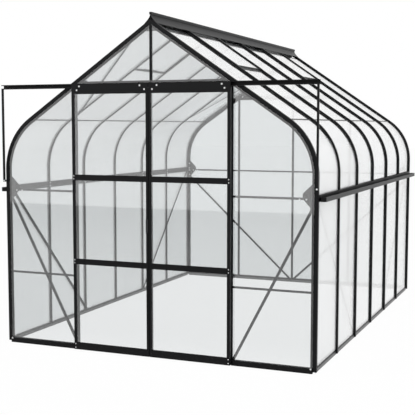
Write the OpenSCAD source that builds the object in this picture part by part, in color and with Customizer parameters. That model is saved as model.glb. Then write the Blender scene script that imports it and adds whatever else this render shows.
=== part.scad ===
// Aluminium greenhouse with curved eaves, four gable sections wide and six bays long, with sliding double
// doors in the front gable and four roof vents. Millimetres, +Z up, +X to the right of someone facing the
// doors, and the front gable on the -Y side. The origin is on the ground, under the middle of the whole.

/* [House] */
// Width over the outer faces of the side bars
width = 2676; // [2200:2:3300]
// Distance from one side bar to the next
bay = 620; // [500:10:760]
// Height where the side bars begin to bend
bend_height = 1446; // [1200:2:1800]
// Radius of the bend, at the outer face of the bars
bend_radius = 514; // [300:2:640]
// Slope of the roof, in degrees
roof_pitch = 34.2; // [28:0.1:42]

/* [Side and roof bars] */
// Width of a bar, along the ridge
bar_width = 19; // [14:1:30]
// Depth of a bar, from its outer face to its inner face
bar_depth = 24; // [22:1:40]
// Depth of the glass below the outer face of a bar
glass_inset = 14; // [8:1:16]
// Thickness of the glass
glass_t = 3; // [3:0.5:5]
// Wall thickness of the extruded profiles
skin = 2; // [1.5:0.1:2.5]

/* [Gable frame] */
// Width of the face of the gable bars
gable_face = 31; // [24:1:44]
// Width of the flange behind the gable glass
gable_flange = 18; // [12:1:30]
// Depth of the gable bars into the house
gable_depth = 12; // [11:1:30]
// Width of the side face of the corner posts
corner_side = 24; // [20:1:32]
// Width of the upright bars in the gables
upright_width = 22; // [16:1:30]
// Width of a door post
post_width = 16; // [14:1:40]

/* [Base and eaves] */
// Height of the sills
sill_height = 42; // [30:1:60]
// Reach of the side sills into the house, from the outer faces of the bars
sill_depth = 36; // [30:1:60]
// Height of the underside of the gutters
gutter_bottom = 1268; // [1000:1:1300]
// Height of the gutters
gutter_height = 34; // [28:1:60]
// Width of the gutters
gutter_width = 55; // [40:1:80]

/* [Ridge and vents] */
// Height of the ridge head above the point where the roof faces meet
ridge_rise = 53; // [40:1:80]
// Reach of the ridge skirts down the roof
ridge_skirt = 60; // [50:1:130]
// Distance from the ridge line to the lower edge of a vent
vent_reach = 576; // [400:4:800]

/* [Doors] */
// Height of the top edge of the doors
door_top = 2143; // [1800:1:2180]
// Clearance under the doors
door_gap = 8; // [5:1:15]
// Width of the outer stile of a door
stile_width = 25; // [18:1:40]
// Width of the meeting stile of a door
meeting_width = 20; // [16:1:40]
// Depth of a door from front to back
door_depth = 28; // [24:1:40]
// Overlap of each door over its door post
door_lap = 20; // [15:1:30]
// Height of the door track
track_height = 35; // [28:1:50]
// Reach of the door track out of the gable
track_reach = 36; // [30:1:50]
// Height of the upper middle rail of a door
upper_rail = 1404; // [1100:2:1500]
// Height of the lower middle rail of a door
lower_rail = 728; // [500:2:900]

/* [Hidden] */

$fn = 96;
frame_black = [0.13, 0.135, 0.14];
glass_tint = [0.82, 0.86, 0.87, 0.35];
eps = 0.01;

bays = 6;
half = width / 2;
bay_run = bays * bay;
end_out = 10;
bend_angle = 90 - roof_pitch;
bend_x = half - bend_radius;
bend_end_x = bend_x + bend_radius * cos(bend_angle);
bend_end_z = bend_height + bend_radius * sin(bend_angle);
apex_z = bend_end_z + bend_end_x * tan(roof_pitch);
slope_length = bend_end_x / cos(roof_pitch);

edge_gap = 2;
glass_play = 0.1;
glass_n = -glass_inset - glass_play - glass_t;
ledge_n = glass_n - glass_play;
rebate = 6;

door_clear = 20;
door_back = -door_clear;
door_front = door_back - door_depth;
handle_depth = 12;
handle_foot = 986;
sill_ridge = 12;
y_shift = (handle_depth - door_front - sill_ridge) / 2;
front_y = -bay_run / 2 - end_out + y_shift;
back_y = bay_run / 2 + end_out + y_shift;
function bar_y(i) = -bay_run / 2 + y_shift + i * bay;

gable_glass_s = skin;
gable_ledge_s = skin + glass_t;
post_x = width / 4 - 6;
post_in = post_x - post_width / 2;
post_out = post_x + post_width / 2;
arch_inner = -gable_face - gable_flange;
arch_web = -gable_face + rebate + edge_gap;
side_web = corner_side - rebate - edge_gap - skin;
plate = 2;
layer_two = gable_depth + plate;
sill_back_s = 16;
post_foot = 12;

cap_foot = sill_height / 5;
gutter_back = 50;
gutter_rib = 14;
gutter_end = 15;
eaves_mid = gutter_bottom + gutter_back / 2;
eaves_box = 34;
eaves_plate = 3;
eaves_plate_h = 54;

header_drop = 48;
header_top = door_top + 20;
header_bottom = header_top - header_drop;
track_top = door_top + 2;
track_bottom = track_top - track_height;
leaf_top = track_bottom - 6;
leaf_out = post_in + door_lap;
leaf_in = 2.5;
mid_rail = 46;
top_rail_bottom = door_top - 80;
bottom_rail_top = door_gap + 60;
door_glass_s = door_front + skin + 1;
roller_r = 11;
roller_play = 0.3;
roller_z = track_bottom + skin + roller_play + roller_r;
roller_inset = 70;
track_end = half + 6;
support_width = 16;
support_depth = 12;
support_foot = bend_height - 94;

rail_h = 17;
eaves_rail_z = 1278;
lower_rail_z = 591;
brace_w = 22;
brace_leg = 10;
strip_w = 14;
vent_bays = [1, bays - 2];
vent_top = ridge_skirt + 3;
vent_depth = 12;
vent_side = bar_width * 5 / 6 + 1;
vent_lip = 6;
vent_play = 1;

// ---- shared shapes ----

// Draws its children at the front gable, with y as the distance into the house from the gable's outer face.
module at_front() {
    translate([0, front_y, 0]) children();
}

// The same for the back gable, mirrored so that y again runs into the house.
module at_back() {
    translate([0, back_y, 0]) mirror([0, 1, 0]) children();
}

// Draws its children on the right roof face: x down the slope from the ridge line, z out of the roof.
module on_roof() {
    translate([0, 0, apex_z]) rotate([0, roof_pitch, 0]) children();
}

module both_sides() {
    children();
    mirror([1, 0, 0]) children();
}

// Outline of the gable, offset by n from the outer line of the bars. The bend stands out a hair, so that it
// crosses the straight lines instead of touching them at a point.
module gable_outline(n) {
    r = bend_radius + n;
    slope_x = bend_x + r * cos(bend_angle);
    slope_z = bend_height + r * sin(bend_angle);
    polygon([
        [-half - n, 0], [half + n, 0], [half + n, bend_height], [slope_x, slope_z],
        [0, apex_z + n / cos(roof_pitch)], [-slope_x, slope_z], [-half - n, bend_height]
    ]);
    for (side = [-1, 1]) translate([side * bend_x, bend_height]) circle(r + eps);
}

// Half of the outline as a band between two offsets, from the foot round the bend to the ridge.
module half_band(n0, n1, foot) {
    difference() {
        gable_outline(n1);
        gable_outline(n0);
        translate([skin - width, 0]) square([width, 2 * width]);
        translate([0, -1]) square([width, foot + 1]);
    }
}

// Stands a flat outline, drawn in x and z, up in the gable between two distances from its outer face.
module stand(s0, s1) {
    translate([0, s1, 0]) rotate([90, 0, 0]) linear_extrude(s1 - s0) children();
}

// Flat strip between two points.
module strip(p, q, w) {
    run = q - p;
    translate(p) rotate(atan2(run[1], run[0])) translate([0, -w / 2]) square([norm(run), w]);
}

// ---- side bars and arches ----

// U over the glass edges, a web, a ledge behind the glass and an inner flange, all bent to the same line.
module side_bar() {
    edge = bar_width / 2;
    stand(-edge, edge) half_band(-skin, 0, cap_foot);
    for (s = [-edge, edge - skin]) stand(s, s + skin) half_band(-glass_inset, 0, cap_foot);
    stand(-skin / 2, skin / 2) half_band(-bar_depth, 0, sill_height);
    for (n = [ledge_n - skin, -bar_depth]) stand(-edge, edge) half_band(n, n + skin, sill_height);
}

module side_bars() {
    color(frame_black) for (i = [1 : bays - 1]) translate([0, bar_y(i), 0]) side_bar();
}

module bars_right() { side_bars(); }
module bars_left() { mirror([1, 0, 0]) side_bars(); }

// Corner post and gable rafter in one bent profile: a face, a side wall, a rebate for the side glass and
// two flanges behind the gable glass.
module arch() {
    color(frame_black) {
        stand(0, skin) half_band(-gable_face, 0, post_foot);
        stand(0, corner_side) half_band(-skin, 0, post_foot);
        stand(corner_side - skin, corner_side) half_band(-glass_inset, 0, post_foot);
        stand(side_web, side_web + skin) half_band(-gable_face, 0, post_foot);
        stand(side_web, corner_side + skin) half_band(ledge_n - skin, ledge_n, sill_height);
        stand(0, gable_depth) half_band(arch_web, arch_web + skin, post_foot);
        for (s = [gable_ledge_s, gable_depth - skin])
            stand(s, s + skin) half_band(arch_inner, arch_web + skin, sill_height);
    }
}

module front_arch_right() { at_front() arch(); }
module front_arch_left() { mirror([1, 0, 0]) front_arch_right(); }
module back_arch_right() { at_back() arch(); }
module back_arch_left() { mirror([1, 0, 0]) back_arch_right(); }

// ---- sills ----

// Side sill, drawn as a section in x and z: an upright plate, set back a little in its lower part, and a
// shelf with a lip for the glass.
module side_sill() {
    from = front_y + corner_side;
    run = back_y - front_y - 2 * corner_side;
    wall = half - glass_inset;
    shelf = half - sill_depth;
    band_z = sill_height * 0.6;
    set_back = 2 * skin;
    color(frame_black) translate([0, from + run, 0]) rotate([90, 0, 0]) linear_extrude(run) {
        translate([wall - skin, band_z]) square([skin, sill_height - band_z]);
        translate([wall - set_back - skin, band_z]) square([set_back + skin, skin]);
        polygon([
            [wall - set_back - skin, band_z + skin], [wall - set_back, band_z + skin],
            [wall, 0], [wall - skin, 0]
        ]);
        translate([shelf, sill_height - skin]) square([wall - shelf, skin]);
        translate([shelf, sill_height - 3 * skin]) square([skin, 3 * skin]);
    }
}

module sill_right() { side_sill(); }
module sill_left() { mirror([1, 0, 0]) side_sill(); }

// Gable sill, drawn as a section in y and z: a box under the glass with two ridges along its face.
module gable_sill(x0, x1) {
    ridge_h = sill_height / 3;
    depth = sill_back_s + sill_ridge - skin;
    color(frame_black) translate([x0, 0, 0]) rotate([90, 0, 90]) linear_extrude(x1 - x0) {
        difference() {
            translate([skin - sill_ridge, 0]) square([depth, sill_height]);
            translate([2 * skin - sill_ridge, skin]) square([depth - 2 * skin, sill_height - 2 * skin]);
        }
        for (z = [0, sill_height - ridge_h])
            translate([-sill_ridge, z]) square([2 * skin, ridge_h]);
    }
}

module front_sills() {
    both_sides() at_front() gable_sill(post_out, half - gable_face);
}

module door_threshold() {
    at_front() gable_sill(-post_in, post_in);
}

module back_sill() {
    at_back() gable_sill(gable_face - half, half - gable_face);
}

// ---- eaves ----

// Inner plate along the wall, with a box in each bay that closes the gap between wall and roof glass.
module eaves_beam() {
    from = front_y + corner_side + skin;
    run = back_y - front_y - 2 * (corner_side + skin);
    inner = half - bar_depth;
    color(frame_black) {
        translate([inner - eaves_plate, from, eaves_mid - eaves_plate_h / 2])
            cube([eaves_plate, run, eaves_plate_h]);
        for (i = [0 : bays - 1]) {
            y0 = i == 0 ? from : bar_y(i) + bar_width / 2;
            y1 = i == bays - 1 ? from + run : bar_y(i + 1) - bar_width / 2;
            translate([inner, y1, eaves_mid - eaves_box / 2]) rotate([90, 0, 0]) linear_extrude(y1 - y0)
                difference() {
                    square([bar_depth, eaves_box]);
                    translate([skin, skin]) square([bar_depth - 2 * skin, eaves_box - 2 * skin]);
                }
        }
    }
}

module eaves_beams() {
    both_sides() eaves_beam();
}

// Open channel with a high back, a rib inside, a rolled front edge and a cap at each end.
module gutter() {
    run = back_y - front_y - 2 * gutter_end;
    color(frame_black) translate([half, back_y - gutter_end, gutter_bottom]) {
        rotate([90, 0, 0]) linear_extrude(run) {
            square([gutter_width, skin]);
            square([skin, gutter_back]);
            translate([gutter_rib, 0]) square([skin, gutter_height]);
            translate([gutter_width - skin, 0]) square([skin, gutter_height]);
            translate([gutter_width - 3 * skin, gutter_height - skin]) square([3 * skin, skin]);
        }
        for (y = [0, skin - run])
            translate([gutter_rib, y - skin, 0]) cube([gutter_width - gutter_rib, skin, gutter_height]);
    }
}

module gutters() {
    both_sides() gutter();
}

// ---- ridge ----

head_half = 10;
head_height = 19;
neck_half = 4;
ridge_top = apex_z + ridge_rise;
ridge_foot = apex_z - gable_face / cos(roof_pitch);
skirt_steps = 8;

// One side of a skirt, a curve from the neck that runs out onto the roof, offset outward by n.
function skirt_tip(n) = [
    ridge_skirt * cos(roof_pitch) + n * sin(roof_pitch),
    apex_z - ridge_skirt * sin(roof_pitch) + n * cos(roof_pitch)
];
function curve(p, q, r, t) = p * (1 - t) * (1 - t) + q * 2 * t * (1 - t) + r * t * t;
function skirt_line(n) = [
    for (i = [0 : skirt_steps])
        curve(
            [neck_half - skin + n, apex_z + 30], [neck_half + n, apex_z + 8], skirt_tip(n), i / skirt_steps
        )
];
function backwards(points) = [for (i = [len(points) - 1 : -1 : 0]) points[i]];

// Right half of the ridge's outline, from the top of the head to the foot of the web.
ridge_half = concat(
    [[head_half, ridge_top], [head_half, ridge_top - head_height], [neck_half, ridge_top - head_height]],
    skirt_line(skin), backwards(skirt_line(0)), [[skin, ridge_foot]]
);

module ridge_cap() {
    color(frame_black) translate([0, back_y, 0]) rotate([90, 0, 0]) linear_extrude(back_y - front_y)
        polygon(concat(ridge_half, [for (p = backwards(ridge_half)) [-p[0], p[1]]]));
}

// ---- gable frame ----

// Upright bar: a cap over the glass, a web, a ledge behind the glass and an inner flange.
module upright_bar(x, foot) {
    intersection() {
        translate([x, 0, foot]) {
            translate([-upright_width / 2, 0, 0]) cube([upright_width, skin, apex_z]);
            translate([-skin / 2, 0, 0]) cube([skin, gable_ledge_s, apex_z]);
        }
        stand(-1, gable_depth + 1) gable_outline(-gable_face);
    }
    intersection() {
        translate([x, 0, foot]) {
            translate([-skin / 2, 0, 0]) cube([skin, gable_depth, apex_z]);
            for (s = [gable_ledge_s, gable_depth - skin])
                translate([-upright_width / 2, s, 0]) cube([upright_width, skin, apex_z]);
        }
        stand(-1, gable_depth + 1) gable_outline(arch_inner);
    }
}

// Door post: a box, with a lip and a ledge on its outer side that hold the glass of the gable.
module door_post() {
    at_front() color(frame_black) {
        intersection() {
            difference() {
                translate([post_in, 0, 0]) cube([post_width, gable_depth, apex_z]);
                translate([post_in + skin, skin, -eps])
                    cube([post_width - 2 * skin, gable_depth - 2 * skin, apex_z]);
            }
            stand(-1, gable_depth + 1) gable_outline(arch_inner);
        }
        intersection() {
            translate([post_out - skin, 0, sill_height]) cube([rebate + edge_gap + skin, skin, apex_z]);
            stand(-1, gable_depth + 1) gable_outline(arch_inner);
        }
        intersection() {
            translate([post_out - skin, gable_ledge_s, sill_height])
                cube([rebate + edge_gap + skin, skin, apex_z]);
            stand(-1, gable_depth + 1) gable_outline(arch_inner);
        }
    }
}

module door_post_right() { door_post(); }
module door_post_left() { mirror([1, 0, 0]) door_post(); }

module front_header() {
    depth = gable_depth - gable_ledge_s;
    at_front() color(frame_black) intersection() {
        translate([-post_in, 0, 0]) rotate([90, 0, 90]) linear_extrude(2 * post_in) difference() {
            translate([gable_ledge_s, header_bottom]) square([depth, header_drop]);
            translate([gable_ledge_s + skin, header_bottom + skin])
                square([depth - 2 * skin, header_drop - 2 * skin]);
        }
        stand(0, gable_depth) gable_outline(arch_inner);
    }
}

module front_centre_bar() {
    at_front() color(frame_black) upright_bar(0, header_top);
}

module back_bars() {
    at_back() color(frame_black) for (x = [-post_x, 0, post_x]) upright_bar(x, sill_height);
}

gusset_reach = 122;

// Angle bar that lies flat on the uprights, with a leg into the house.
module angle_rail(x0, x1, z) {
    translate([x0, gable_depth, z]) cube([x1 - x0, plate, rail_h]);
    translate([x0, gable_depth, z + rail_h - plate]) cube([x1 - x0, rail_h / 2, plate]);
}

module front_rails() {
    end_x = half + arch_inner + gable_flange / 2;
    splice = 20;
    at_front() color(frame_black) both_sides() {
        angle_rail(post_x, half - gusset_reach, eaves_rail_z);
        translate([half - gusset_reach - splice, layer_two, eaves_rail_z])
            cube([end_x - half + gusset_reach + splice, plate, rail_h]);
        translate([post_x, gable_depth, lower_rail_z]) cube([end_x - post_x, plate, rail_h]);
    }
}

module back_rails() {
    reach = half - gusset_reach;
    header_x = (apex_z - header_top) / tan(roof_pitch) - gusset_reach;
    at_back() color(frame_black) {
        angle_rail(-reach, reach, eaves_rail_z);
        translate([-header_x, gable_depth, header_bottom]) cube([2 * header_x, plate, header_drop]);
    }
}

// From the middle line of a brace to the middle of its leg, on the right of someone going from p to q.
function leg_shift(p, q) = [q[1] - p[1], p[0] - q[0]] / norm(q - p) * (brace_w - plate) / 2;

// Diagonal angle with a joggled foot that lies on the post; it stops at the top of the sill.
module gable_brace(foot_x) {
    top = [half - 52, gutter_bottom - 62];
    foot = [foot_x, 27];
    foot_in = foot_x + brace_w / 2;
    along = (top - foot) / norm(top - foot);
    shift = leg_shift(top, foot);
    intersection() {
        union() {
            stand(layer_two, layer_two + plate) strip(top, foot, brace_w);
            stand(gable_depth, layer_two + plate) strip(foot + along * (3 * brace_w), foot, brace_w);
            stand(layer_two, layer_two + brace_leg) strip(top + shift, foot + shift, plate);
        }
        translate([foot_in - brace_w + eps, 0, sill_height]) cube([width, layer_two + 2 * brace_leg, width]);
    }
}

module gable_braces() {
    color(frame_black) {
        at_front() both_sides() gable_brace(post_out + skin);
        at_back() both_sides() gable_brace(brace_w / 2 + 1);
    }
}

// Arrow plate at the eaves, with its point at the height of the gutter.
module corner_gusset() {
    gusset_z = gutter_bottom + 36;
    polygon([
        [half - gable_face, gusset_z + 104], [half - 50, gusset_z + 90],
        [half - gusset_reach, gusset_z + 19], [half - gusset_reach, gusset_z - 2], [half - 112, gusset_z - 28], [half - 64, gusset_z - 82],
        [half - 64, gusset_z - 100], [half - gable_face, gusset_z - 100]
    ]);
}

// Plate under the ridge, cut to the slopes.
module ridge_gusset() {
    intersection() {
        translate([-width / 2, apex_z - 91]) square([width, 91]);
        gable_outline(-gable_face);
    }
}

// Plate where the header meets the slope.
module header_gusset() {
    x = (apex_z - header_top) / tan(roof_pitch);
    intersection() {
        polygon([
            [x - gusset_reach, header_bottom], [x - gusset_reach, header_top],
            [x - gusset_reach / 2, header_top + 52],
            [x, header_top + 52], [x + 40, header_bottom], [x - 20, header_bottom]
        ]);
        gable_outline(-gable_face);
    }
}

module gussets() {
    stand(gable_depth, gable_depth + plate) ridge_gusset();
    both_sides() {
        stand(gable_depth, gable_depth + plate) corner_gusset();
        stand(gable_depth, gable_depth + plate) header_gusset();
    }
}

module front_gussets() { at_front() color(frame_black) gussets(); }
module back_gussets() { at_back() color(frame_black) gussets(); }

// ---- wind braces ----

// Diagonal angle on the inner faces of the side bars, from under the eaves beam to the foot of the second
// bar.
module side_brace() {
    inner = half - bar_depth;
    top = [bar_y(0) + 2 * bar_width, eaves_mid - eaves_plate_h / 2 + brace_w];
    foot = [bar_y(2), sill_height];
    shift = leg_shift(foot, top);
    intersection() {
        union() {
            translate([inner - plate, 0, 0]) rotate([90, 0, 90]) linear_extrude(plate)
                strip(top, foot, brace_w);
            translate([inner - brace_leg, 0, 0]) rotate([90, 0, 90]) linear_extrude(brace_leg)
                strip(top + shift, foot + shift, plate);
        }
        translate([inner - 2 * brace_leg, front_y, sill_height])
            cube([3 * brace_leg, back_y - front_y, eaves_mid - eaves_plate_h / 2 - sill_height]);
    }
}

module mirror_ends() {
    children();
    translate([0, 2 * y_shift, 0]) mirror([0, 1, 0]) children();
}

module side_braces() {
    color(frame_black) both_sides() mirror_ends() side_brace();
}

module roof_brace() {
    top = [180, bar_y(0)];
    foot = [1250, bar_y(1) + bar_width / 4];
    on_roof() translate([0, 0, -bar_depth - plate]) linear_extrude(plate) intersection() {
        strip(top, foot, brace_w);
        translate([0, front_y + side_web + skin]) square([width, bays * bay]);
    }
}

module roof_braces() {
    color(frame_black) both_sides() mirror_ends() roof_brace();
}

// ---- door track ----

// Channel, open to the front, in which the door rollers run.
module door_track() {
    lip = 7;
    at_front() color(frame_black) translate([-track_end, 0, track_bottom]) rotate([90, 0, 90])
        linear_extrude(2 * track_end) {
        translate([-skin, 0]) square([skin, track_height]);
        for (z = [0, track_height - skin]) translate([-track_reach, z]) square([track_reach, skin]);
        for (z = [0, track_height - lip]) translate([-track_reach, z]) square([skin, lip]);
    }
}

// Bar that carries each end of the track down to the corner post, with a spacer at its foot.
module track_supports() {
    spacer_h = 14;
    side_x = track_end - support_width;
    at_front() color(frame_black) both_sides() translate([side_x, -track_reach, support_foot]) {
        cube([support_width, support_depth, track_bottom - support_foot]);
        cube([support_width, track_reach, spacer_h]);
    }
}

// ---- glass ----

function pane_from(i) = i == 0 ? front_y + corner_side - rebate : bar_y(i) + skin / 2 + edge_gap;
function pane_to(i) = i == bays - 1 ? back_y - corner_side + rebate : bar_y(i + 1) - skin / 2 - edge_gap;
function is_vent_bay(i) = i == vent_bays[0] || i == vent_bays[1];

module wall_glass() {
    color(glass_tint) both_sides() for (i = [0 : bays - 1])
        translate([half + glass_n, pane_from(i), sill_height])
            cube([glass_t, pane_to(i) - pane_from(i), eaves_mid - eaves_box / 2 - sill_height]);
}

module curved_glass() {
    foot = eaves_mid + eaves_box / 2;
    color(glass_tint) both_sides() for (i = [0 : bays - 1]) {
        w = pane_to(i) - pane_from(i);
        translate([0, pane_from(i), 0]) {
            translate([half + glass_n, 0, foot]) cube([glass_t, w, bend_height - foot]);
            translate([bend_x, w, bend_height]) rotate([90, 0, 0]) rotate_extrude(angle = bend_angle)
                translate([bend_radius + glass_n, 0]) square([glass_t, w]);
        }
    }
}

module roof_glass() {
    color(glass_tint) both_sides() on_roof() for (i = [0 : bays - 1]) {
        top = is_vent_bay(i) ? vent_reach : ridge_skirt / 3;
        translate([top, pane_from(i), glass_n])
            cube([slope_length - edge_gap - top, pane_to(i) - pane_from(i), glass_t]);
    }
}

// Strip that holds the lower edge of each roof pane to the curved pane below it.
module pane_strips() {
    color(frame_black) both_sides() on_roof() for (i = [0 : bays - 1]) {
        y0 = i == 0 ? front_y + corner_side + skin : bar_y(i) + bar_width / 2;
        y1 = i == bays - 1 ? back_y - corner_side - skin : bar_y(i + 1) - bar_width / 2;
        translate([slope_length - edge_gap, y0, ledge_n])
            cube([edge_gap - glass_play, y1 - y0, -glass_inset - ledge_n]);
        for (n = [ledge_n - 1, -glass_inset])
            translate([slope_length - strip_w, y0, n]) cube([strip_w, y1 - y0, 1]);
    }
}

module gable_pane(x0, x1, z0) {
    stand(gable_glass_s, gable_ledge_s) intersection() {
        translate([x0, z0]) square([x1 - x0, width]);
        gable_outline(-gable_face + rebate);
    }
}

module front_glass() {
    beside = skin / 2 + edge_gap;
    at_front() color(glass_tint) both_sides() {
        gable_pane(post_out + edge_gap, half, sill_height);
        gable_pane(beside, post_in - edge_gap, header_bottom + rebate);
    }
}

module back_glass() {
    beside = skin / 2 + edge_gap;
    at_back() color(glass_tint) both_sides() {
        gable_pane(beside, post_x - beside, sill_height);
        gable_pane(post_x + beside, half, sill_height);
    }
}

// ---- vents ----

module each_vent() {
    both_sides() on_roof() for (i = vent_bays)
        translate([vent_top, bar_y(i) - bar_width / 3, 0]) children();
}
vent_run = vent_reach - vent_top;
vent_span = bay + 2 * bar_width / 3;

// Box drawn inside a vent, in from its edges by e along the slope and by vent_side + e across it.
module inside_vent(e, from, to) {
    translate([e, vent_side + e, from]) cube([vent_run - 2 * e, vent_span - 2 * (vent_side + e), to - from]);
}

// Plate that lies on the bars and a wall that hangs between them, with a lip under the glass.
module vent_frames() {
    color(frame_black) each_vent() difference() {
        union() {
            cube([vent_run, vent_span, skin]);
            inside_vent(0, -vent_depth, skin);
        }
        inside_vent(skin, -vent_depth + skin, 2 * skin);
        inside_vent(skin + vent_lip, -vent_depth - 1, 0);
    }
}

module vent_glass() {
    foot = -vent_depth + skin + glass_play;
    color(glass_tint) each_vent() inside_vent(skin + vent_play, foot, foot + glass_t);
}

// Cross bar under the lower edge of each vent, which also holds the top of the pane below.
module vent_sills() {
    foot = ledge_n - skin;
    color(frame_black) both_sides() on_roof() for (i = vent_bays)
        translate([vent_reach - skin, bar_y(i) + bar_width / 2, foot]) {
            cube([skin - glass_play, bay - bar_width, -vent_depth - vent_play - foot]);
            translate([-rebate, 0, 0]) cube([2 * rebate + skin, bay - bar_width, skin]);
        }
}

// ---- doors ----

// Box stile, drawn from its outer edge at x = 0 towards the glass, with a slot for the glass.
module stile(w) {
    linear_extrude(leaf_top - door_gap) difference() {
        translate([0, door_front]) square([w, door_depth]);
        translate([skin, door_front + skin]) square([w - 2 * skin, door_depth - 2 * skin]);
        translate([w - skin - eps, door_glass_s]) square([skin + 1, glass_t]);
    }
}

// Rail section in y and z: a face, two legs in front of the glass and a web between the panes.
module rail_section(z0, z1, web_z) {
    translate([door_front, z0]) square([skin, z1 - z0]);
    for (z = [z0, z1 - skin]) translate([door_front, z]) square([door_glass_s - door_front, skin]);
    translate([door_front, web_z - skin / 2]) square([door_depth, skin]);
}

module top_rail_section() {
    translate([door_front, top_rail_bottom]) square([skin, door_top - top_rail_bottom]);
    translate([door_front, top_rail_bottom]) square([door_glass_s - door_front, skin]);
    translate([door_front, door_top - skin]) square([3 * skin, skin]);
    translate([door_front, leaf_top - skin]) square([door_depth, skin]);
    translate([door_back - skin, top_rail_bottom]) square([skin, leaf_top - top_rail_bottom]);
}

module door_frame() {
    rail_x = leaf_in + meeting_width;
    rail_run = leaf_out - stile_width - rail_x;
    at_front() color(frame_black) {
        translate([leaf_out, 0, door_gap]) mirror([1, 0, 0]) stile(stile_width);
        translate([leaf_in, 0, door_gap]) stile(meeting_width);
        translate([rail_x, 0, 0]) rotate([90, 0, 90]) linear_extrude(rail_run) {
            rail_section(door_gap, bottom_rail_top, door_gap + 14);
            rail_section(lower_rail - mid_rail / 2, lower_rail + mid_rail / 2, lower_rail);
            rail_section(upper_rail - mid_rail / 2, upper_rail + mid_rail / 2, upper_rail);
        }
        translate([rail_x, 0, 0]) rotate([90, 0, 90]) linear_extrude(rail_run) top_rail_section();
        translate([leaf_in, door_front, leaf_top]) cube([leaf_out - leaf_in, skin, door_top - leaf_top]);
    }
}

module right_door_frame() { door_frame(); }
module left_door_frame() { mirror([1, 0, 0]) door_frame(); }

module door_glass() {
    x0 = leaf_in + meeting_width - rebate;
    x1 = leaf_out - stile_width + rebate;
    gap = skin / 2;
    levels = [door_gap + 14, lower_rail, upper_rail, leaf_top - skin + gap];
    at_front() color(glass_tint) for (i = [0 : 2])
        translate([x0, door_glass_s, levels[i] + gap])
            cube([x1 - x0, glass_t, levels[i + 1] - levels[i] - 2 * gap]);
}

module right_door_glass() { door_glass(); }
module left_door_glass() { mirror([1, 0, 0]) door_glass(); }

// Two wheels on short axles that stand out of the back of the top rail.
module door_rollers() {
    wheel_t = 10;
    axle_r = 3;
    wheel_s = -track_reach / 2 - wheel_t / 2;
    at_front() for (x = [leaf_in + roller_inset, leaf_out - roller_inset]) color(frame_black) {
        translate([x, wheel_s + wheel_t, roller_z]) rotate([90, 0, 0]) cylinder(h = wheel_t, r = roller_r);
        translate([x, wheel_s, roller_z]) rotate([90, 0, 0])
            cylinder(h = wheel_s - door_front - skin, r = axle_r);
    }
}

module right_door_rollers() { door_rollers(); }
module left_door_rollers() { mirror([1, 0, 0]) door_rollers(); }

// Finger pull on the meeting stile of the left door.
module door_handle() {
    pull_w = 14;
    pull_h = 106;
    back_t = 3;
    grip_t = 4;
    mid_x = -leaf_in - meeting_width / 2;
    at_front() color("dimgray") translate([mid_x - pull_w / 2, door_front - handle_depth, handle_foot]) {
        translate([0, handle_depth - back_t, 0]) cube([pull_w, back_t, pull_h]);
        cube([grip_t, handle_depth - back_t + eps, pull_h]);
    }
}

front_sills();
door_threshold();
sill_left();
sill_right();
back_sill();
front_arch_left();
front_arch_right();
back_arch_left();
back_arch_right();
bars_left();
bars_right();
eaves_beams();
gutters();
ridge_cap();
door_post_left();
door_post_right();
front_header();
front_centre_bar();
front_rails();
back_bars();
back_rails();
gable_braces();
side_braces();
roof_braces();
front_gussets();
back_gussets();
door_track();
track_supports();
wall_glass();
curved_glass();
roof_glass();
front_glass();
back_glass();
pane_strips();
vent_frames();
vent_glass();
vent_sills();
left_door_frame();
left_door_glass();
left_door_rollers();
door_handle();
right_door_frame();
right_door_glass();
right_door_rollers();
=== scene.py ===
import bpy, bmesh, math
from mathutils import Vector, Matrix


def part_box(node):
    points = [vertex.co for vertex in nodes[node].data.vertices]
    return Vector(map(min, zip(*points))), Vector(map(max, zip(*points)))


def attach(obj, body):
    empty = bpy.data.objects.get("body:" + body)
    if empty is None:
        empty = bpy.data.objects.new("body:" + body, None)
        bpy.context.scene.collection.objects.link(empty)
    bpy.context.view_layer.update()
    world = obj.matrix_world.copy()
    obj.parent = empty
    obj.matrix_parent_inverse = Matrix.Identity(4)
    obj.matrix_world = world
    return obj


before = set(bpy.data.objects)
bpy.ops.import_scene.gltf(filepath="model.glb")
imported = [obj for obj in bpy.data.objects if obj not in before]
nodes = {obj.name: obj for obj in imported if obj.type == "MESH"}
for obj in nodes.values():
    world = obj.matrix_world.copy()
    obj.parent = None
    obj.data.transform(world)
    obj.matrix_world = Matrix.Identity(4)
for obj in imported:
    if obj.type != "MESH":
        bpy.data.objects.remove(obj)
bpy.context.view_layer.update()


# Standpoint: at eye height, to the right of the doors, far enough off for the whole house to fit
# the view. The outer faces of the two gables and the half width of the house place everything
# that follows.
gable_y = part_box("front_arch_right")[0][1]
back_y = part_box("back_arch_right")[1][1]
half_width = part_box("front_arch_right")[1][0]
eye_right = 3.079
eye_distance = 6.3228
eye_height = 1.8159
look_down = 5.1622
look_left = 22.4057
lean = -0.048
camera = bpy.data.objects.new("camera", bpy.data.cameras.new("camera"))
bpy.context.scene.collection.objects.link(camera)
camera.data.sensor_width = 36
camera.data.lens = 78.608
camera.location = (eye_right, gable_y - eye_distance, eye_height)
camera.rotation_euler = (math.radians(90 - look_down), math.radians(lean), math.radians(look_left))
bpy.context.scene.camera = camera
bpy.context.scene.view_settings.view_transform = "Standard"


# Studio: a white sky, two broad soft lamps and a pale floor that ends behind the camera and to the
# right. Sky and floor look white to the camera and through the glass, whatever light falls on
# them. In reflections the floor is white beside the house and grey in front of it.
def empty_tree(owner):
    owner.use_nodes = True
    tree = owner.node_tree
    tree.nodes.clear()
    return tree


def either(tree, first, second):
    larger = tree.nodes.new("ShaderNodeMath")
    larger.operation = "MAXIMUM"
    tree.links.new(first, larger.inputs[0])
    tree.links.new(second, larger.inputs[1])
    return larger.outputs[0]


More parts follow.
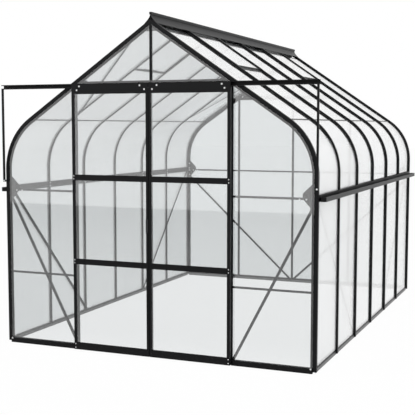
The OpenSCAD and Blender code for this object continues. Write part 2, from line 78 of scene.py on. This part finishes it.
def light_and_look(tree, lit, look, seen, kind):
    mix = tree.nodes.new("ShaderNodeMixShader")
    tree.links.new(seen, mix.inputs[0])
    tree.links.new(lit, mix.inputs[1])
    tree.links.new(look, mix.inputs[2])
    tree.links.new(mix.outputs[0], tree.nodes.new(kind).inputs[0])


def seen_straight(tree):
    path = tree.nodes.new("ShaderNodeLightPath")
    return path, either(tree, path.outputs["Is Camera Ray"], path.outputs["Is Transmission Ray"])


def white_glow(tree, kind, strength):
    glow = tree.nodes.new(kind)
    glow.inputs["Color"].default_value = (1, 1, 1, 1)
    glow.inputs["Strength"].default_value = strength
    return glow.outputs[0]


sky_light = 0.6
sky = bpy.data.worlds.new("sky")
bpy.context.scene.world = sky
sky_tree = empty_tree(sky)
sky_path, sky_straight = seen_straight(sky_tree)
light_and_look(sky_tree, white_glow(sky_tree, "ShaderNodeBackground", sky_light),
               white_glow(sky_tree, "ShaderNodeBackground", 1),
               either(sky_tree, sky_straight, sky_path.outputs["Is Glossy Ray"]),
               "ShaderNodeOutputWorld")

lamp_aim = Vector((0, gable_y + 1.8, 1))
for name, place, watts, size in (
    ("lamp_right", (6, gable_y - 3, 7), 260, 5),
    ("lamp_left", (-6, gable_y - 4, 6), 160, 5),
):
    lamp = bpy.data.objects.new(name, bpy.data.lights.new(name, "AREA"))
    bpy.context.scene.collection.objects.link(lamp)
    lamp.data.energy = watts
    lamp.data.size = size
    lamp.location = place
    lamp.rotation_euler = (lamp_aim - Vector(place)).to_track_quat("-Z", "Y").to_euler()

floor_front = gable_y - 11.65
floor_right = 8.1
floor_size = 80
floor_drop = 0.0005
floor_shape = bmesh.new()
bmesh.ops.create_grid(floor_shape, x_segments=1, y_segments=1, size=floor_size / 2)
bmesh.ops.translate(floor_shape, verts=floor_shape.verts,
                    vec=(floor_right - floor_size / 2, floor_front + floor_size / 2, -floor_drop))
floor_mesh = bpy.data.meshes.new("floor")
floor_shape.to_mesh(floor_mesh)
floor_shape.free()
floor = bpy.data.objects.new("floor", floor_mesh)
bpy.context.scene.collection.objects.link(floor)

white_share = 0.93
mirrored_in_front = 0.1
mirrored_beside = 0.9
floor_glow = 1.03
floor_paint = bpy.data.materials.new("floor_paint")
floor_tree = empty_tree(floor_paint)
floor_path, floor_straight = seen_straight(floor_tree)
floor_place = floor_tree.nodes.new("ShaderNodeTexCoord")
floor_axes = floor_tree.nodes.new("ShaderNodeSeparateXYZ")
floor_tree.links.new(floor_place.outputs["Object"], floor_axes.inputs[0])
beside = floor_tree.nodes.new("ShaderNodeMapRange")
beside.interpolation_type = "SMOOTHSTEP"
beside.inputs["From Min"].default_value = gable_y - 1
beside.inputs["From Max"].default_value = gable_y + 1
beside.inputs["To Min"].default_value = mirrored_in_front
beside.inputs["To Max"].default_value = mirrored_beside
floor_tree.links.new(floor_axes.outputs["Y"], beside.inputs["Value"])
mirrored = floor_tree.nodes.new("ShaderNodeMath")
mirrored.operation = "MULTIPLY"
floor_tree.links.new(beside.outputs["Result"], mirrored.inputs[0])
floor_tree.links.new(floor_path.outputs["Is Glossy Ray"], mirrored.inputs[1])
direct = floor_tree.nodes.new("ShaderNodeMath")
direct.operation = "MULTIPLY"
direct.inputs[1].default_value = white_share
floor_tree.links.new(floor_straight, direct.inputs[0])
floor_lit = floor_tree.nodes.new("ShaderNodeBsdfDiffuse")
floor_lit.inputs["Color"].default_value = (0.6, 0.6, 0.6, 1)
light_and_look(floor_tree, floor_lit.outputs[0],
               white_glow(floor_tree, "ShaderNodeEmission", floor_glow),
               either(floor_tree, direct.outputs[0], mirrored.outputs[0]),
               "ShaderNodeOutputMaterial")
floor_mesh.materials.append(floor_paint)


# Sills: extruded aluminium channels laid on the ground round the house, mitred to the corner
# posts. Like every bar they carry a baked powder coat, nearly black, satin, with a fine orange
# peel. The side and back sills are coloured a flat mid grey over their lowest 25 mm.
def powder_coat(name, colour, roughness, foot=None):
    darker, lighter = 0.85, 1.2
    smoother, rougher = -0.05, 0.07
    material = bpy.data.materials.new(name)
    tree = empty_tree(material)
    coat = tree.nodes.new("ShaderNodeBsdfPrincipled")
    coat.inputs["IOR"].default_value = 1.25
    place = tree.nodes.new("ShaderNodeTexCoord")
    peel = tree.nodes.new("ShaderNodeTexNoise")
    peel.inputs["Scale"].default_value = 700
    cloud = tree.nodes.new("ShaderNodeTexNoise")
    cloud.inputs["Scale"].default_value = 3
    tree.links.new(place.outputs["Object"], peel.inputs["Vector"])
    tree.links.new(place.outputs["Object"], cloud.inputs["Vector"])
    shades = tree.nodes.new("ShaderNodeMix")
    shades.data_type = "RGBA"
    shades.inputs["A"].default_value = (*[part * darker for part in colour], 1)
    shades.inputs["B"].default_value = (*[part * lighter for part in colour], 1)
    tree.links.new(cloud.outputs["Fac"], shades.inputs["Factor"])
    film = shades.outputs["Result"]
    # Below the height foot the coat's colour is swapped for a flat mid grey band.
    if foot:
        axes = tree.nodes.new("ShaderNodeSeparateXYZ")
        tree.links.new(place.outputs["Object"], axes.inputs[0])
        below = tree.nodes.new("ShaderNodeMath")
        below.operation = "LESS_THAN"
        below.inputs[1].default_value = foot
        tree.links.new(axes.outputs["Z"], below.inputs[0])
        grey_band = tree.nodes.new("ShaderNodeMix")
        grey_band.data_type = "RGBA"
        grey_band.inputs["B"].default_value = (0.21, 0.21, 0.21, 1)
        tree.links.new(below.outputs[0], grey_band.inputs["Factor"])
        tree.links.new(film, grey_band.inputs["A"])
        film = grey_band.outputs["Result"]
    tree.links.new(film, coat.inputs["Base Color"])
    rough = tree.nodes.new("ShaderNodeMapRange")
    rough.inputs["To Min"].default_value = roughness + smoother
    rough.inputs["To Max"].default_value = roughness + rougher
    tree.links.new(peel.outputs["Fac"], rough.inputs["Value"])
    tree.links.new(rough.outputs["Result"], coat.inputs["Roughness"])
    bump = tree.nodes.new("ShaderNodeBump")
    bump.inputs["Strength"].default_value = 0.12
    bump.inputs["Distance"].default_value = 0.0002
    tree.links.new(peel.outputs["Fac"], bump.inputs["Height"])
    tree.links.new(bump.outputs["Normal"], coat.inputs["Normal"])
    tree.links.new(coat.outputs[0], tree.nodes.new("ShaderNodeOutputMaterial").inputs[0])
    return material


def finish_nodes(material, *names):
    for name in names:
        for place in nodes[name].material_slots:
            place.material = material


near_black = (0.006, 0.0062, 0.0068)
satin = 0.38
# Height below which the side and back sills are coloured a flat mid grey.
grey_foot = 0.025
black_coat = powder_coat("black_powder_coat", near_black, satin)
grey_footed_coat = powder_coat("black_powder_coat_on_bare_foot", near_black, satin, grey_foot)
finish_nodes(black_coat, "front_sills", "door_threshold")
finish_nodes(grey_footed_coat, "sill_left", "sill_right", "back_sill")


# Sill bolts: stainless hexagon bolts with a washer, one through the outer end of each front sill.
# Like the nuts and screws elsewhere they are cold headed, so their metal is bright and lightly
# brushed.
def bright_steel():
    material = bpy.data.materials.new("bright_steel")
    tree = empty_tree(material)
    metal = tree.nodes.new("ShaderNodeBsdfPrincipled")
    metal.inputs["Metallic"].default_value = 1
    place = tree.nodes.new("ShaderNodeTexCoord")
    brush = tree.nodes.new("ShaderNodeTexNoise")
    brush.inputs["Scale"].default_value = 900
    tree.links.new(place.outputs["Object"], brush.inputs["Vector"])
    shades = tree.nodes.new("ShaderNodeMix")
    shades.data_type = "RGBA"
    shades.inputs["A"].default_value = (0.72, 0.73, 0.74, 1)
    shades.inputs["B"].default_value = (0.86, 0.86, 0.85, 1)
    tree.links.new(brush.outputs["Fac"], shades.inputs["Factor"])
    tree.links.new(shades.outputs["Result"], metal.inputs["Base Color"])
    rough = tree.nodes.new("ShaderNodeMapRange")
    rough.inputs["To Min"].default_value = 0.3
    rough.inputs["To Max"].default_value = 0.5
    tree.links.new(brush.outputs["Fac"], rough.inputs["Value"])
    tree.links.new(rough.outputs["Result"], metal.inputs["Roughness"])
    tree.links.new(metal.outputs[0], tree.nodes.new("ShaderNodeOutputMaterial").inputs[0])
    return material


steel = bright_steel()
washer_radius = 0.0068
washer_t = 0.0012
hexagon_radius = 0.0056
head_t = 0.0026
nut_t = 0.0045
shank_radius = 0.0029
shank_out = 0.0040
screw_radius = 0.0046
screw_t = 0.0020
drive_radius = 0.0020
drive_t = 0.0004


def keep_piece(name, shape, material, body):
    mesh = bpy.data.meshes.new(name)
    shape.to_mesh(mesh)
    shape.free()
    mesh.materials.append(material)
    piece = bpy.data.objects.new(name, mesh)
    bpy.context.scene.collection.objects.link(piece)
    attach(piece, body)


def disc(shape, radius, height, foot, sides, edge):
    made = bmesh.ops.create_cone(
        shape, cap_ends=True, segments=sides, radius1=radius, radius2=radius, depth=height,
        matrix=Matrix.Translation((0, 0, foot + height / 2)))
    top = {v for v in made["verts"] if abs(v.co.z - foot - height) < 1e-6}
    rim = {e for v in top for e in v.link_edges if e.other_vert(v) in top}
    bmesh.ops.bevel(shape, geom=list(rim), offset=edge, segments=1, profile=0.5, affect="EDGES",
                    material=-1)


def washer(shape):
    disc(shape, washer_radius, washer_t, 0, 18, 0.0003)


def bolt_head(shape):
    washer(shape)
    disc(shape, hexagon_radius, head_t, washer_t, 6, 0.0006)


def nut_and_end(shape):
    washer(shape)
    disc(shape, hexagon_radius, nut_t, washer_t, 6, 0.0006)
    disc(shape, shank_radius, shank_out, washer_t + nut_t, 12, 0.0008)


def screw_head(shape):
    disc(shape, screw_radius, screw_t, 0, 16, 0.0010)
    disc(shape, drive_radius, drive_t, screw_t, 6, 0.0001)


def place_fasteners(shape, make, places, facing):
    turn = Vector(facing).to_track_quat("Z", "Y").to_matrix().to_4x4()
    for place in places:
        known = set(shape.verts)
        make(shape)
        new = [v for v in shape.verts if v not in known]
        bmesh.ops.transform(shape, matrix=Matrix.Translation(place) @ turn, verts=new)


sill_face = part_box("front_sills")[0][1]
sill_bolt_x = half_width - 0.042
sill_bolt_z = 0.035
sill_bolts = bmesh.new()
place_fasteners(sill_bolts, bolt_head,
                [(side * sill_bolt_x, sill_face, sill_bolt_z) for side in (-1, 1)], (0, -1, 0))
keep_piece("sill_bolts", sill_bolts, steel, "house")


# Arches and side bars: one extrusion each, roller bent round the eaves and pinned to the ridge.
# The caps clip over the edges of the panes and leave no screws on the outside.
finish_nodes(black_coat, "front_arch_left", "front_arch_right", "back_arch_left",
             "back_arch_right", "bars_left", "bars_right")


# Eaves beams and gutters: straight extrusions bolted to the inside of every bar, with two nuts at
# each crossing. The gutters run along the outside of the bars.
finish_nodes(black_coat, "eaves_beams", "gutters")
bar_low, bar_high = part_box("bars_right")
bar_width = 0.019
bar_step = (bar_high[1] - bar_low[1] - bar_width) / 4
bar_ys = [bar_low[1] + bar_width / 2 + i * bar_step for i in range(5)]
eaves_low, eaves_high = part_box("eaves_beams")
eaves_z = (eaves_low[2] + eaves_high[2]) / 2
eaves_inner = half_width - 0.027
nut_spread = 0.014
eaves_bolts = bmesh.new()
for side in (-1, 1):
    for rise in (-nut_spread, nut_spread):
        place_fasteners(eaves_bolts, nut_and_end,
                        [(side * eaves_inner, y, eaves_z + rise) for y in bar_ys], (-side, 0, 0))
keep_piece("eaves_bolts", eaves_bolts, steel, "house")


# Ridge: one tall extrusion that closes the joint of the two roof faces. Its skirts run out over
# the upper edges of the roof panes, and the vents hook into them. It has the same baked coat as
# the bars.
finish_nodes(black_coat, "ridge_cap")


# Gable frame: extruded posts, header, centre bar and flat rails behind the glass, joined by cut
# plates. Every joint has stainless bolts with the heads towards the glass and the nuts inside.
# The header at the front hides the heads of its lower bolts.
finish_nodes(black_coat, "door_post_left", "door_post_right", "front_header", "front_centre_bar",
             "front_rails", "back_bars", "back_rails", "gable_braces", "front_gussets",
             "back_gussets")
plate_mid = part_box("gutters")[0][2] + 0.0135
arch_spots = [(half_width - 0.041, plate_mid + rise) for rise in (0.079, 0.027, 0, -0.052)]
ridge_spots = [(0.063, 2.543), (0.030, 2.564)]
plate_spots = [(half_width - inward, plate_mid) for inward in (0.094, 0.146)]
header_spots = [(0.575, 2.178), (0.619, 2.152)]
arch_front = 0.010
plate_front = 0.012
plate_back = 0.0142
gusset_bolts = bmesh.new()
for face_y, into, header_heads in ((gable_y, 1, header_spots[:1]), (back_y, -1, header_spots)):
    heads = [(x, face_y + into * arch_front, z) for x, z in arch_spots + ridge_spots]
    heads += [(x, face_y + into * plate_front, z) for x, z in plate_spots + header_heads]
    nuts = [(x, face_y + into * plate_back, z)
            for x, z in arch_spots + ridge_spots + plate_spots + header_spots]
    for side in (-1, 1):
        place_fasteners(gusset_bolts, bolt_head, [(side * x, y, z) for x, y, z in heads],
                        (0, -into, 0))
        place_fasteners(gusset_bolts, nut_and_end, [(side * x, y, z) for x, y, z in nuts],
                        (0, into, 0))
keep_piece("gusset_bolts", gusset_bolts, steel, "house")


# Wind braces: rolled angles across the corners of the side walls and flat strips under the roof.
# Their ends are punched and bolted to the inner flanges of the bars.
finish_nodes(black_coat, "side_braces", "roof_braces")


# Door track: a channel that runs past the gable on both sides. An upright bar with a spacer
# carries each end, and one bolt holds its foot.
finish_nodes(black_coat, "door_track", "track_supports")
support_low, support_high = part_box("track_supports")
track_bolt_x = support_high[0] - 0.010
track_bolt_z = support_low[2] + 0.009
track_bolts = bmesh.new()
place_fasteners(track_bolts, bolt_head,
                [(side * track_bolt_x, support_low[1], track_bolt_z) for side in (-1, 1)],
                (0, -1, 0))
keep_piece("track_bolts", track_bolts, steel, "house")


# Glass: 3 mm float panes, cut straight for the walls, gables and roof and bent for the eaves.
# They are clear with a faint blue-grey cast, a little clearer in the roof, and mirror the sky
# more the flatter they are looked along. Behind the front gable they mirror the frame softly.
def clear_glass(name, tint, haze):
    polished = 0.02
    least_mirror = 0.13
    material = bpy.data.materials.new(name)
    tree = empty_tree(material)
    clear = tree.nodes.new("ShaderNodeBsdfTransparent")
    clear.inputs["Color"].default_value = (*tint, 1)
    sheen = tree.nodes.new("ShaderNodeBsdfGlossy")
    sheen.inputs["Color"].default_value = (1, 1, 1, 1)
    tilt = tree.nodes.new("ShaderNodeLayerWeight")
    tilt.inputs["Blend"].default_value = 0.5
    mist = tree.nodes.new("ShaderNodeMapRange")
    mist.inputs["From Min"].default_value = 0.74
    mist.inputs["From Max"].default_value = 0.8
    mist.inputs["To Min"].default_value = haze
    mist.inputs["To Max"].default_value = polished
    tree.links.new(tilt.outputs["Facing"], mist.inputs["Value"])
    tree.links.new(mist.outputs["Result"], sheen.inputs["Roughness"])
    bend = tree.nodes.new("ShaderNodeMath")
    bend.operation = "POWER"
    bend.inputs[1].default_value = 2.4
    tree.links.new(tilt.outputs["Facing"], bend.inputs[0])
    spread = tree.nodes.new("ShaderNodeMapRange")
    spread.inputs["To Min"].default_value = least_mirror
    spread.inputs["To Max"].default_value = 1
    tree.links.new(bend.outputs[0], spread.inputs["Value"])
    mix = tree.nodes.new("ShaderNodeMixShader")
    tree.links.new(spread.outputs["Result"], mix.inputs[0])
    tree.links.new(clear.outputs[0], mix.inputs[1])
    tree.links.new(sheen.outputs[0], mix.inputs[2])
    tree.links.new(mix.outputs[0], tree.nodes.new("ShaderNodeOutputMaterial").inputs[0])
    return material


sharp_mirror = 0.02
soft_mirror = 0.6
finish_nodes(clear_glass("clear_glass", (0.936, 0.946, 0.948), sharp_mirror),
             "front_glass", "left_door_glass", "right_door_glass")
finish_nodes(clear_glass("wall_pane_glass", (0.93, 0.94, 0.942), soft_mirror),
             "wall_glass", "back_glass")
finish_nodes(clear_glass("roof_pane_glass", (0.955, 0.962, 0.964), soft_mirror),
             "curved_glass", "roof_glass", "vent_glass")


# Pane strips: thin folded strips along the joint of each roof pane and the bent pane under it.
# They are pushed over both edges before the panes are laid.
finish_nodes(black_coat, "pane_strips")


# Vents: light folded frames with their own pane, hinged in the ridge and shown shut. Under the
# lower edge of each hangs a flat stay of punched aluminium, which rests on two pegs of the cross
# bar.
finish_nodes(black_coat, "vent_frames", "vent_sills")
pitch = math.radians(34.2)
ridge_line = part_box("ridge_cap")[1][2] - 0.053
stay_length = 0.26
stay_width = 0.014
stay_plate = 0.002
stay_edge = 0.0005
stay_place = 0.563
stay_depth = 0.0147
peg_spread = 0.08
peg_radius = 0.0028
peg_height = 0.008
stays = bmesh.new()
for side in (-1, 1):
    for first in (0, 3):
        middle = (bar_ys[first] + bar_ys[first + 1]) / 2
        plate = bmesh.ops.create_cube(stays, size=1)["verts"]
        bmesh.ops.scale(stays, vec=(stay_width, stay_length, stay_plate), verts=plate)
        edges = list({edge for vert in plate for edge in vert.link_edges})
        made = bmesh.ops.bevel(stays, geom=edges, offset=stay_edge, segments=1, profile=0.5,
                               affect="EDGES", material=-1)["verts"]
        for shift in (-peg_spread, peg_spread):
            made += bmesh.ops.create_cone(
                stays, cap_ends=True, segments=12, radius1=peg_radius, radius2=peg_radius * 0.8,
                depth=peg_height,
                matrix=Matrix.Translation((0, shift, -peg_height / 4)))["verts"]
        slope = Matrix.Rotation(pitch, 4, "Y") @ Matrix.Translation((stay_place, 0, -stay_depth))
        place = Matrix.Translation((0, middle, ridge_line)) @ slope
        if side < 0:
            half_turn = Matrix.Rotation(math.pi, 4, "Z")
            place = half_turn @ Matrix.Translation((0, -2 * middle, 0)) @ place
        bmesh.ops.transform(stays, matrix=place, verts=made)
keep_piece("vent_stays", stays, black_coat, "house")


# Doors: box stiles and rails, with screws through the outer stile into each rail. A bolt for each
# roller and one beside each stile go through the top rail. A brush seal on each meeting stile
# closes the gap between the doors.
def nylon():
    material = bpy.data.materials.new("black_nylon")
    tree = empty_tree(material)
    moulding = tree.nodes.new("ShaderNodeBsdfPrincipled")
    place = tree.nodes.new("ShaderNodeTexCoord")
    grain = tree.nodes.new("ShaderNodeTexNoise")
    grain.inputs["Scale"].default_value = 1200
    tree.links.new(place.outputs["Object"], grain.inputs["Vector"])
    shades = tree.nodes.new("ShaderNodeMix")
    shades.data_type = "RGBA"
    shades.inputs["A"].default_value = (0.02, 0.02, 0.021, 1)
    shades.inputs["B"].default_value = (0.035, 0.035, 0.036, 1)
    tree.links.new(grain.outputs["Fac"], shades.inputs["Factor"])
    tree.links.new(shades.outputs["Result"], moulding.inputs["Base Color"])
    rough = tree.nodes.new("ShaderNodeMapRange")
    rough.inputs["To Min"].default_value = 0.45
    rough.inputs["To Max"].default_value = 0.6
    tree.links.new(grain.outputs["Fac"], rough.inputs["Value"])
    tree.links.new(rough.outputs["Result"], moulding.inputs["Roughness"])
    tree.links.new(moulding.outputs[0], tree.nodes.new("ShaderNodeOutputMaterial").inputs[0])
    return material


soft_black = nylon()
finish_nodes(black_coat, "left_door_frame", "right_door_frame")
roller_inset = 0.070
rail_bolt_inner = 0.031
rail_bolt_outer = 0.048
rail_bolt_drop = 0.030
half_stile = 0.0125
foot_screws = (0.015, 0.045)
rail_screws = (0.716, 0.740, 1.392, 1.416)
seal_t = 0.0018
seal_depth = 0.009
seal_back = 0.014
seal_gap = 0.0001
seal_above_sill = 0.004
seal_below_rollers = 0.012
for side, name in ((-1, "left_door"), (1, "right_door")):
    low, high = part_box(name + "_frame")
    face = low[1]
    inner, outer = sorted((abs(low[0]), abs(high[0])))
    roller_low, roller_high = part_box(name + "_rollers")
    axle_z = (roller_low[2] + roller_high[2]) / 2
    rail_bolts = [(inner + roller_inset, axle_z), (outer - roller_inset, axle_z),
                  (inner + rail_bolt_inner, axle_z - rail_bolt_drop),
                  (outer - rail_bolt_outer, axle_z - rail_bolt_drop)]
    screw_heights = [low[2] + rise for rise in foot_screws] + list(rail_screws)
    screws = bmesh.new()
    place_fasteners(screws, bolt_head, [(side * x, face, z) for x, z in rail_bolts], (0, -1, 0))
    place_fasteners(screws, screw_head,
                    [(side * (outer - half_stile), face, z) for z in screw_heights], (0, -1, 0))
    keep_piece(name + "_screws", screws, steel, name)
    seal_foot = low[2] + seal_above_sill
    seal_run = roller_low[2] - seal_below_rollers - seal_foot
    seal_x = side * (inner - seal_t / 2 - seal_gap)
    seal = bmesh.new()
    bmesh.ops.create_grid(seal, x_segments=1, y_segments=1, size=0.5)
    bmesh.ops.scale(seal, vec=(seal_t, seal_depth, 1), verts=seal.verts)
    raised = bmesh.ops.extrude_face_region(seal, geom=list(seal.faces))
    top = [item for item in raised["geom"] if isinstance(item, bmesh.types.BMVert)]
    bmesh.ops.translate(seal, vec=(0, 0, seal_run), verts=top)
    bmesh.ops.translate(seal, vec=(seal_x, face + seal_back, seal_foot), verts=seal.verts)
    bmesh.ops.recalc_face_normals(seal, faces=seal.faces)
    keep_piece(name + "_brush_seal", seal, soft_black, name)


# Rollers: moulded nylon wheels on steel axles, two to a door. The axles pass through the top rail
# and the wheels run on the floor of the track.
finish_nodes(soft_black, "left_door_rollers", "right_door_rollers")


# Handle: an aluminium finger pull folded to an L and screwed to the meeting stile of the left
# door. Its coat is a lighter grey than the bars.
finish_nodes(powder_coat("grey_powder_coat", (0.045, 0.046, 0.048), 0.42), "door_handle")
